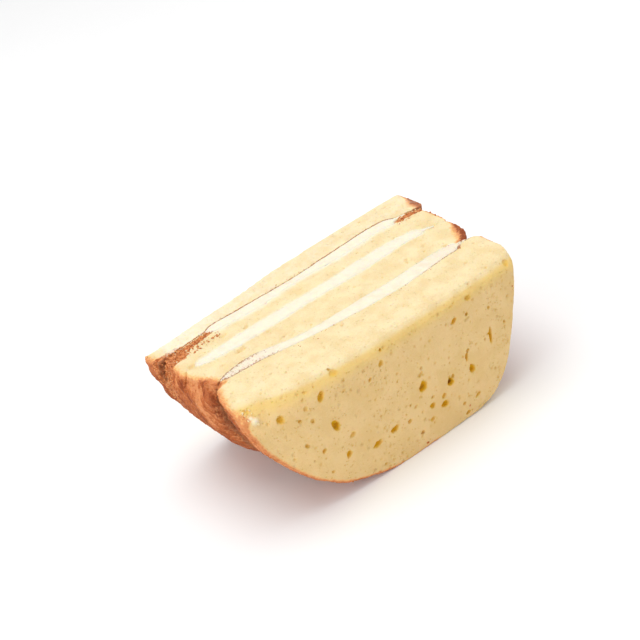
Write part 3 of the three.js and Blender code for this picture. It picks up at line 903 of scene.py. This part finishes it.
# How dark the rim is, as y and darkness, at shares along the outline from the left corner: its baking, and
# painted shade in the dark furrows between the slices
BAKE_AND_SHADE_LEFT = {
    0.005: (
        (-30, 0.1), (-25, 0.1), (-22, 0.6), (-13, 0.5), (-7, 0.5), (-5.4, 0.1), (-4.6, 0.3), (-3, 1.0),
        (-0.8, 0.85), (0.5, 0.15), (5, 0.2), (8.5, 0.1), (10.7, 0), (12, 0.3), (15, 0.5), (18, 0.15),
        (20.5, 0.4), (22.3, 1.0), (23, 0.7), (25, 0.6), (30, 0.55),
    ),
    0.025: (
        (-30, 0.1), (-26, 0.1), (-23, 0.8), (-14, 0.8), (-7.3, 0.8), (-6.7, 1.05), (-5.6, 0.6),
        (-3.9, 1.0), (-2, 0.0), (0.2, 0.1), (3, 0.15), (6.4, 0.2), (8, 0.8), (9.2, 1.3), (10.7, 0.9),
        (12.4, 0.0), (13.8, 0.5), (15.3, 0.95), (17, 0.1), (19.5, 0.9), (22.5, 0.85), (24.5, 0.6),
    ),
    0.05: (
        (-30, 0.1), (-27, 0.1), (-25, 1.1), (-14, 1.0), (-7.9, 1.05), (-6.6, 0.75), (-5.2, 0.4),
        (-3.3, 0.8), (-1, 0.05), (0.6, 0.15), (2.4, 0.8), (4, 0.9), (5.9, 1.2), (7.5, 0.7), (9.7, 0.5),
        (12, 0.45), (14.5, 0.6), (18.5, 1.0), (21, 1.0), (24.3, 1.0), (28, 0.8),
    ),
    0.07: (
        (-30, 0.15), (-27, 0.3), (-25, 1.2), (-14, 1.2), (-7.8, 1.3), (-6.6, 1.0), (-6, 0.4),
        (-4.5, 0.5), (-1.3, 0.0), (2, 0.45), (4.5, 0.8), (8.2, 0.6), (10.9, 0.8), (15, 0.8), (20, 1.0),
        (26, 0.95),
    ),
    0.09: (
        (-30, 0.25), (-27, 0.5), (-25, 1.2), (-14, 1.2), (-7.6, 1.15), (-7.2, 0.85), (-5.9, 0.45),
        (-4.2, 0.2), (-2, 0.2), (1.2, 1.1), (6.7, 0.7), (12, 0.85), (20, 0.95),
    ),
    0.12: (
        (-30, 0.3), (-26, 0.8), (-14, 1.1), (-7.7, 1.05), (-6.7, 0.75), (-6.1, 0.55), (-4.4, 0.9),
        (2.3, 1.0), (10, 0.9), (20, 0.7),
    ),
}
BAKE_ROUND = (
    (-36, 0.55), (-28, 0.6), (-16, 0.9), (-14, 1.15), (-3, 1.05), (6, 0.75), (15, 0.75), (20, 1.0),
    (28, 1.05), (34, 0.9),
)
BAKE_TURN = (0.14, 0.24)  # shares between which the left corner turns into the rest of the rim


def rim_bake_and_shade(y, share):
    """How dark the rim is at each point: its baking, and at the left end painted shade in the furrows
    between the slices.
    """
    places = list(BAKE_AND_SHADE_LEFT)
    rows = np.stack([row_at(row, y) for row in BAKE_AND_SHADE_LEFT.values()])
    where = np.interp(share, places, np.arange(len(places)))
    low = np.minimum(where.astype(int), len(places) - 2)
    columns = np.arange(len(y))
    left = mix(rows[low, columns], rows[low + 1, columns], where - low)
    return mix(left, row_at(BAKE_ROUND, y), ramp(share, *BAKE_TURN))


def within(y, low, high, soft):
    """One between two edges, easing to nothing past them."""
    return ramp(y, low - soft, low + 0.5) * ramp(y, high + 0.5, high - 0.5)


def torn_zone(points):
    """Where the crust has torn and left loose brown crumb, from 0 to 1."""
    x, y, z = points.T
    left = within(y, row_at(TORN_LOW, x), row_at(TORN_HIGH, x), 0.6)
    left = left * ramp(x, -36.5, -38.5) * ramp(z, 40, 45)
    right = within(y, row_at(TORN_RIGHT_LOW, x), row_at(TORN_RIGHT_HIGH, x), 0.5)
    right = right * ramp(x, 44.5, 46.5) * ramp(z, 42, 46)
    wavy = y + 1.5 * np.sin(0.5 * z) + 0.9 * np.sin(1.3 * z + 1)
    groove = ramp(x, -50, -54) * ramp(wavy, 13, 18) * ramp(y, 26, 23) * ramp(z, 26, 38)
    return np.clip(np.maximum(np.maximum(left, groove), right), 0, 1)


def corner_crust(depth, x, y, z, share):
    """Lets the crumb turn slowly into crust at the left corner, and thickens the crust at the right one."""
    end = row_at(CRUMB_END, y)
    reach = (end - x) + np.maximum(CUT_HEIGHT - z - 0.6, 0)
    slow = 1.5 - reach / CRUMB_FADE
    depth = mix(depth, slow, ramp(share, 0.17, 0.09) * ramp(z, CUT_HEIGHT - 9, CUT_HEIGHT - 5))
    thick = mix(1, row_at(RIGHT_CRUST, y), ramp(share, 0.84, 0.92))
    return (depth - 0.7 * np.maximum(thick - 1, 0)) / thick


# Depths below the cut, and reaches in from an outer face, between which a finish comes or goes
CUT_FADE = (2.2, 0.2)
TRIM_FADE = (4.0, 0.0)
RIM_FADE = (1.5, 4.0)
WORN_FADE = (6.0, 0.0)
# The glow rows place the painted glow below the lit top edge of an outer face, as depths below the cut and
# reach in from the face
GLOW_LOWER = (7.5, 2.6)
GLOW_UPPER = (0.2, 2.2)
GLOW_REACH = (2.5, 1.0)
# Reach in from an outer face of the painted highlight on its rounded top edge
LIT_EDGE_REACH = (3.0, 1.0)
FACE_REACH = (0.0, 1.2)

EDGE_SOFT = 5.0  # width of the worn edge between the cut and an outer face
SKIN_REACH = 1.6  # how far the browned skin beside a bed reaches onto the cut
RIM_FACING = (0.8, 0.5)  # how much of a normal lies along Y on a face, and on the rim
RIM_DEPTH = 0.2  # deepest crumb that shows on the rim
RIDGED = (0.24, 0.14)  # shares of the outline between which the rim turns ridged
# Strength of the painted shade in the dimples of the cut
DIMPLE_SHADE = 0.4
NO_CRUST = 9.0


def cut_fade(z):
    """One on the cut, easing to nothing just below it."""
    return ramp(CUT_HEIGHT - z, *CUT_FADE)


def raise_lumps(points, normals, lumps):
    """Raises torn lumps of crumb out of the surface, and returns how far up one each point lies."""
    raised = np.zeros(len(points))
    for x0, y0, z0, radius, height in lumps:
        away = np.linalg.norm(points - (x0, y0, z0), axis=1) / radius
        part = smooth(1.2 - away)
        points += normals * (height * part)[:, None]
        raised = np.maximum(raised, part)
    return raised


def dress_slice(name, rim_sizes, back_face, front_face, looks):
    """Makes one sponge slice: fine shell, marks for its finishes, bubbles and small relief."""
    obj = remeshed(name, slice_loops(rim_sizes, back_face, front_face), SPONGE_VOXEL)
    if looks["bubbles"]:
        refine_bubbles(obj.data, *looks["bubbles"])
    points, normals = read_points(obj.data)
    share, beyond = rim_survey(points)
    x, y, z = points.T.copy()
    zero = np.zeros(len(x))
    y_back, y_front = (face(x, z, share_on(face, x, zero)) for face in (back_face, front_face))
    closed = [face(x, z, zero) for face in (back_face, front_face)]
    depth = crust_depth(points, share, beyond, rim_sizes, *closed)
    below = CUT_HEIGHT - z
    open_rim = ramp(np.abs(normals[:, 1]), *RIM_FACING) * ramp(below, *RIM_FADE)
    depth = mix(depth, np.minimum(depth, RIM_DEPTH), open_rim)
    depth = corner_crust(depth, x, y, z, share)
    depth = looks["crust"](depth, y, z, share, *closed)
    cut = cut_fade(z) * np.clip(normals[:, 2] * 1.5 - 0.2, 0, 1)
    painted_glow, skin = zero, zero
    sink = CUT_TRIM * ramp(below, *TRIM_FADE)
    sides = ("back", back_face, y_back - y), ("front", front_face, y - y_front)
    for side, face, inside in sides:
        skin = np.maximum(skin, row_at(looks[side + "_skin"], x) * np.clip(1 - inside / SKIN_REACH, 0, 1))
        if face.bed is None:
            inside = np.maximum(inside, 0)
            # Painted highlight: the pale cut colour runs over the rounded top edge of an outer face, where
            # that edge catches the light
            pale = ramp(below, *looks["lit_edge_depth"])
            cut = np.maximum(cut * ramp(inside, *FACE_REACH), pale * ramp(inside, *LIT_EDGE_REACH))
            # Painted glow: a warm band just below the top edge of an outer face, where its lit part turns
            # to shade
            painted_glow = looks["painted_glow"] * ramp(below, *GLOW_LOWER) * ramp(below, *GLOW_UPPER)
            painted_glow = painted_glow * ramp(inside, *GLOW_REACH)
            near = np.clip(1 - inside / EDGE_SOFT, 0, 1) ** 2
            sink = sink + looks["edge_drop"] * near * ramp(below, *WORN_FADE)
    # Painted glare: the cut of the back slice is whitened with the cream colour, most towards its left end;
    # real cream smears are added below
    cream_smear_and_glare = row_at(looks["painted_glare"], x) * cut
    for side, face, inside in sides:
        if face.bed is not None:
            dragged = np.clip(1 - inside / looks[side + "_smear"], 0, 1) * (inside > -2)
            cream_smear_and_glare = np.maximum(cream_smear_and_glare, dragged * cream_share(face.bed, x, zero) * cut)
    rng = np.random.default_rng(BUBBLE_SEED + len(name))
    hole_shade = open_bubbles(points, normals, CUT_DIMPLES, 2, 1, rng) * DIMPLE_SHADE
    if looks["bubbles"]:
        hole_shade = np.maximum(hole_shade, open_bubbles(points, normals, *looks["bubbles"], rng))
    points[:, 2] -= sink
    raised = raise_lumps(points, normals, looks["lumps"])
    write_points(obj.data, points)
    marks = {
        "crust_depth": depth,
        "bake_and_furrow_shade": rim_bake_and_shade(y, share),
        "ridge": ramp(share, *RIDGED),
        "cut": cut,
        "painted_glow": painted_glow,
        "skin": skin,
        "cream_smear_and_glare": cream_smear_and_glare,
        "torn": torn_zone(points),
        "hole_shade": hole_shade,
        "raised": raised,
    }
    write_marks(obj.data, marks)
    return grown(obj, RELIEF_TREE, {"Material": SPONGE})


# Rows of a cream bed that taper off between the rims of its slices, and how far in from the rim they stop
BURIED_ROWS = (0.33, 0.67, 0.92)
BURIED_INSET = 3.0


def dress_cream(name, bed):
    """Makes one bed of cream, uneven from the knife and pressed into the crumb on both sides."""
    core, out, share, top = shell_columns()
    rows = np.linspace(0, 1, ROWS + 1)[:, None]
    past = np.array(BURIED_ROWS)[:, None]
    buried = past * (core_inset(share) - BURIED_INSET) * ramp(share, 0.8, 0.9)
    high = CUT_HEIGHT - CREAM_TRIM
    x = np.vstack([mix(top, core[:, 0], rows), core[:, 0] + out[:, 0] * buried])
    z = np.vstack([mix(high, core[:, 1], rows), np.clip(core[:, 1] + out[:, 1] * buried, 0, high)])
    thick = cream_share(bed, top, np.vstack([rows, 1 + past]))
    held = np.flatnonzero(thick[0] > 0.03)
    back, front = (bedded_face(bed, side, gap)(x, z, thick) for side, gap in zip((1, -1), bed["spread"]))
    loops = [np.stack([x[r], back[r], z[r]], 1) for r in range(len(x))]
    loops += [np.stack([x[r], front[r], z[r]], 1) for r in reversed(range(len(x)))]
    obj = remeshed(name, np.stack(loops, 1)[held], CREAM_VOXEL)
    x, y, z = read_points(obj.data)[0].T
    zero = np.zeros(len(x))
    ends = cream_share(bed, x, zero)
    y_back, y_front = (bedded_face(bed, side)(x, z, ends) for side in (1, -1))
    edge = 1 - np.clip(np.minimum(y_back - y, y - y_front) / 1.3, 0, 1)
    soil = row_at(bed["soiled"], x) * mix(0.55, 1.0, edge)
    marks = {"crust_depth": zero + NO_CRUST, "torn": zero, "ridge": zero, "cut": cut_fade(z), "soil": soil}
    write_marks(obj.data, marks)
    return grown(obj, RELIEF_TREE, {"Material": CREAM, **CREAM_RELIEF})


def crust_plain(depth, y, z, share, y_back, y_front):
    return depth


def crust_front(depth, y, z, share, y_back, y_front):
    """Crust wraps a little onto the front face at the left, and stays off its right part."""
    off = FRONT_OFF * ramp(share, 0.46, 0.66)
    return np.maximum(depth, y_front + row_at(FRONT_WRAP, z) + off - y)


def crust_back(depth, y, z, share, y_back, y_front):
    return np.maximum(depth, (y - y_back) + BACK_WRAP)


# Reach of the crust onto the front face at heights z, how far it stays off the right part, and its
# reach onto the back face
FRONT_WRAP = ((0, -0.7), (20, -0.8), (34, -0.7), (40, 0.2), (44, 0.7), (CUT_HEIGHT, 0.9))
FRONT_OFF = 7.0
BACK_WRAP = 0.6

# Loose bubbles of the outer faces, as how many, range of x, of z and of sizes
FRONT_LOOSE = (80, (-52, 50), (3, 47), (0.5, 1.1))
BACK_LOOSE = (150, (-52, 52), (3, 46), (0.6, 4.2))
bubble_draw = np.random.default_rng(BUBBLE_SEED)
FRONT_OPEN = FRONT_BUBBLES + random_bubbles(bubble_draw, *FRONT_LOOSE)
BACK_OPEN = random_bubbles(bubble_draw, *BACK_LOOSE)

# How each slice differs from a plain one. Skins and the painted glare that whitens the cut are rows of x
# and strength, smears are how far cream is dragged over the cut, and bubbles come with the axis and side of
# their face.
PLAIN_LOOKS = {
    "crust": crust_plain,
    "painted_glare": NOWHERE,
    "back_skin": NOWHERE,
    "front_skin": NOWHERE,
    "lumps": (),
    "bubbles": (),
}
LOOKS = {
    "back_sponge": {
        "crust": crust_back,
        # The lit edge depth and the glow set the painted highlight and the painted glow at the top edge of
        # the outer face
        "lit_edge_depth": (2.6, 0.8),
        "painted_glow": 0.1,
        "edge_drop": 0.1,
        "painted_glare": ((-60.5, 0), (-58, 0.3), (-55, 0.7), (-45, 0.65), (-25, 0.45), (0, 0.35), (60, 0.3)),
        "front_skin": ((-60, 0.95), (-30, 1.0), (0, 0.9), (60, 1.05)),
        "front_smear": 0.1,
        "bubbles": (BACK_OPEN, 1, 1),
    },
    "inner_back_sponge": {
        "back_smear": 3.6,
        "front_smear": 2.2,
    },
    "inner_front_sponge": {
        "front_skin": ((-52, 1.0), (-38, 1.0), (-33, 0.6), (-30, 0), (60, 0)),
        "back_smear": 2.2,
        "front_smear": 0.9,
    },
    "front_sponge": {
        "crust": crust_front,
        # The lit edge depth and the glow set the painted highlight and the painted glow at the top edge of
        # the outer face
        "lit_edge_depth": (2.8, 1.0),
        "painted_glow": 1.0,
        "edge_drop": 0.5,
        "back_skin": ((-52, 1.0), (-38, 0.95), (-28, 0.6), (0, 0.5), (22, 0.6), (28, 0.95), (50, 1.0)),
        "back_smear": 0.5,
        "lumps": FRONT_LUMPS,
        "bubbles": (FRONT_OPEN, 1, -1),
    },
}

RELIEF_TREE = relief_tree()
SPONGE = sponge_material(grain_group(), crust_group())
CREAM = cream_material()

back_outer = outer_face(BACK_FACE, BACK_FALL, BACK_FALL_DEPTH, 1)
front_outer = outer_face(FRONT_FACE, FRONT_FALL, FRONT_FALL_DEPTH, -1)
SLICES = [
    ("back_sponge", BACK_RIM, back_outer, bedded_face(BACK_BED, 1)),
    ("inner_back_sponge", INNER_BACK_RIM, bedded_face(BACK_BED, -1), bedded_face(MIDDLE_BED, 1)),
    ("inner_front_sponge", INNER_FRONT_RIM, bedded_face(MIDDLE_BED, -1), bedded_face(FRONT_BED, 1)),
    ("front_sponge", FRONT_RIM, bedded_face(FRONT_BED, -1), front_outer),
]
surface = []
for node, rim_sizes, back_face, front_face in SLICES:
    piece = dress_slice(node + "_crumb", rim_sizes, back_face, front_face, {**PLAIN_LOOKS, **LOOKS[node]})
    surface.append(read_points(piece.data))
    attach(piece, "root")
    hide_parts(node)
for node, bed in (("back_cream", BACK_BED), ("middle_cream", MIDDLE_BED), ("front_cream", FRONT_BED)):
    piece = dress_cream(node + "_bed", bed)
    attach(piece, "root")
    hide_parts(node)


# Loose crumbs on the slices, as kind, how many, box of places in x, y and z, and size range
CRUMB_SEED = 23
CRUMB_LIFT = 0.15  # how far a crumb's middle lies above the surface, as a share of its size
CRUMB_ZONES = [
    ("brown", 150, (-58, -37), (15, 23.5), (47, 50), (0.3, 0.95)),
    ("brown", 34, (45, 58), (18.0, 22.2), (47, 50), (0.3, 0.9)),
    ("brown", 40, (-63, -52), (15, 22), (34, 47), (0.3, 0.9)),
    ("brown", 50, (-63, -55), (18, 24), (40, 49), (0.4, 1.1)),
    ("brown", 26, (-36, 44), (23.6, 26.2), (48, 50), (0.2, 0.5)),
    ("brown", 34, (-30, 46), (-18.5, -13), (48, 50), (0.2, 0.45)),
    ("brown", 30, (-62, -52), (-34, 30), (30, 49), (0.25, 0.6)),
    ("brown", 30, (50, 61), (-34, 36), (8, 48), (0.25, 0.6)),
    ("pale", 34, (-58, -37), (14, 23.5), (46, 50), (0.3, 0.8)),
    ("pale", 16, (45, 58), (18.0, 22.5), (47, 50), (0.3, 0.7)),
    ("pale", 8, (-60, -55), (-34, -26), (40, 47), (0.4, 0.9)),
]

# Single crumbs that stand out at the edges, as kind, x, y, z and size
EDGE_CRUMBS = [
    ("brown", 34.7, -37.4, 6.4, 1.5), ("brown", -24.0, -36.9, 3.6, 1.2),
    ("brown", -0.3, -38.0, 1.6, 1.5), ("brown", 12.0, -37.4, 0.8, 1.0),
    ("brown", 50.3, -36.9, 38.1, 1.1), ("brown", 49.9, -36.9, 36.7, 1.0),
    ("brown", 20.5, -38.0, 4.7, 1.1), ("brown", -32.0, -36.3, 4.9, 1.1),
    ("brown", 58.1, 14.2, 49.2, 0.9), ("brown", 57.9, 11.0, 49.2, 0.8),
    ("brown", -61.9, 29.2, 48.8, 1.7), ("brown", -62.0, 28.0, 48.3, 1.2),
    ("brown", -61.3, 29.8, 49.0, 0.9), ("pale", -55.9, -30.6, 42.6, 1.1),
    ("pale", -57.3, -28.0, 45.2, 0.9),
]


def crumb_tree():
    """Turns each point into an uneven little crumb, turned and stretched at random."""
    takes = [("Geometry", "Geometry"), ("Unevenness", "Float", 0.35), ("Seed", "Int", CRUMB_SEED)]
    takes += [("Material", "Material")]
    w, given = new_group("Loose crumbs", "GeometryNodeTree", takes, [("Geometry", "Geometry")])

    def drawn(low, high, seed):
        """A random vector for each point."""
        made = w.add("FunctionNodeRandomValue", {"data_type": "FLOAT_VECTOR"}, Seed=seed)
        for k, end in enumerate((low, high)):
            made.inputs[k].default_value = (end, end, end)
        return made.outputs[0]

    ball = w.add("GeometryNodeMeshUVSphere", Segments=7, Rings=5, Radius=0.5 * MM)
    stretch = w.scaled(drawn(0.6, 1.2, given["Seed"]), w.mark("size"))
    turn = w.add("FunctionNodeEulerToRotation", Euler=drawn(-math.pi, math.pi, w.plus(given["Seed"], 1)))
    placing = {"Points": given["Geometry"], "Instance": ball.outputs[0]}
    placed = w.add("GeometryNodeInstanceOnPoints", **placing, Rotation=turn.outputs[0], Scale=stretch)
    real = w.add("GeometryNodeRealizeInstances", Geometry=placed.outputs[0])
    spot = w.scaled(w.add("GeometryNodeInputPosition").outputs[0], 1 / MM)
    lump = w.add("ShaderNodeTexNoise", Vector=spot, Scale=2.2, Detail=2.0).outputs["Color"]
    middle = w.add("ShaderNodeVectorMath", {"operation": "SUBTRACT"})
    w.feed(middle.inputs[0], lump)
    middle.inputs[1].default_value = (0.5, 0.5, 0.5)
    push = w.scaled(middle.outputs[0], w.times(given["Unevenness"], MM))
    moved = w.add("GeometryNodeSetPosition", Geometry=real.outputs[0], Offset=push)
    finished = w.add("GeometryNodeSetMaterial", Geometry=moved.outputs[0], Material=given["Material"])
    w.add("NodeGroupOutput", Geometry=finished.outputs[0])
    return w.tree


def crumb_places(kind, rng):
    """Random places for one kind of crumb on the open surface of the slices, with their sizes."""
    points = np.vstack([p for p, _ in surface])
    normals = np.vstack([n for _, n in surface])
    side_on = np.abs(normals[:, 1]) < 0.75
    places, sizes = [], []
    for zone_kind, count, x_range, y_range, z_range, size_range in CRUMB_ZONES:
        if zone_kind != kind:
            continue
        held = side_on.copy()
        for k, span in enumerate((x_range, y_range, z_range)):
            held &= (points[:, k] > span[0]) & (points[:, k] < span[1])
        picks = rng.choice(np.flatnonzero(held), count)
        size = mix(size_range[0], size_range[1], rng.random(count) ** 2)
        places.append(points[picks] + normals[picks] * (size * CRUMB_LIFT)[:, None])
        sizes.append(size)
    return np.vstack(places), np.concatenate(sizes)


def scatter(name, kind, material, seed):
    places, sizes = crumb_places(kind, np.random.default_rng(seed))
    named = np.array([row[1:] for row in EDGE_CRUMBS if row[0] == kind])
    places, sizes = np.vstack([places, named[:, :3]]), np.concatenate([sizes, named[:, 3]])
    mesh = bpy.data.meshes.new(name)
    mesh.from_pydata(((places + SHIFT) * MM).tolist(), [], [])
    write_marks(mesh, {"size": sizes})
    obj = linked(name, mesh)
    grown(obj, CRUMB_TREE, {"Seed": seed, "Material": material})
    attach(obj, "root")


CRUMB_TREE = crumb_tree()
scatter("brown_crumbs", "brown", crumb_material("Brown crumb", CRUST_WARM, CRUST_LIGHT), CRUMB_SEED)
scatter("pale_crumbs", "pale", crumb_material("Pale crumb", CRUMB_SIDE, CRUMB_CUT_AND_SHEEN), CRUMB_SEED + 1)


# Floor, studio lights and camera, in metres and watts
FLOOR_REACH = 3.0
FLOOR_TONES = ((0.93, 0.93, 0.93, 1), (0.95, 0.95, 0.95, 1))
LIGHTS = (
    ("key", (-0.05, 0.10, 0.9), (0, 0, 0.03), 0.8, 4.0),
    ("fill", (-0.9, -0.1, 0.2), (0, 0, 0.02), 0.6, 2.2),
)
WORLD_STRENGTH = 0.75
SENSOR_MM = 36
LENS_MM = 84.375
CAMERA_PLACE = (-0.217876, -0.401206, 0.315282)
CAMERA_RIGHT = (0.7787, -0.5771, -0.2462)
CAMERA_UP = (0.4832, 0.3014, 0.8220)
CAMERA_FORWARD = (0.4002, 0.7590, -0.5135)


def plain_floor():
    """A plain pale floor under the cake."""
    made, w = new_material("Floor")
    tone = w.colour_mix(w.noise(w.place(), 60.0), *FLOOR_TONES)
    shader = w.add("ShaderNodeBsdfPrincipled", Base_Color=tone, Roughness=0.9)
    w.add("ShaderNodeOutputMaterial", Surface=shader.outputs[0])
    mesh = bpy.data.meshes.new("floor")
    corners = [(x * FLOOR_REACH, y * FLOOR_REACH, 0) for x, y in ((-1, -1), (1, -1), (1, 1), (-1, 1))]
    mesh.from_pydata(corners, [], [(0, 1, 2, 3)])
    mesh.materials.append(made)
    linked("floor", mesh)


def studio_light(name, place, target, size, watts):
    """A round soft light at a place, turned to its target."""
    lamp = bpy.data.lights.new(name, "AREA")
    lamp.shape = "DISK"
    lamp.size = size
    lamp.energy = watts
    obj = linked(name, lamp)
    obj.location = place
    obj.rotation_euler = (Vector(target) - Vector(place)).to_track_quat("-Z", "Y").to_euler()


def camera():
    """Looks down at the cake from the front left, turned a little about its own axis."""
    seen = bpy.data.cameras.new("camera")
    seen.sensor_width = SENSOR_MM
    seen.lens = LENS_MM
    seen.clip_start = 0.01
    seen.clip_end = 20
    obj = linked("camera", seen)
    axes = zip(CAMERA_RIGHT, CAMERA_UP, CAMERA_FORWARD, CAMERA_PLACE)
    rows = [(right, up, -forward, place) for right, up, forward, place in axes]
    obj.matrix_world = Matrix(rows + [(0, 0, 0, 1)])
    bpy.context.scene.camera = obj


def world_light():
    """Even white light from all round."""
    world = bpy.data.worlds.new("studio")
    world.use_nodes = True
    background = world.node_tree.nodes["Background"]
    background.inputs["Color"].default_value = (1, 1, 1, 1)
    background.inputs["Strength"].default_value = WORLD_STRENGTH
    bpy.context.scene.world = world


plain_floor()
for light in LIGHTS:
    studio_light(*light)
world_light()
camera()
bpy.context.scene.view_settings.view_transform = "Standard"
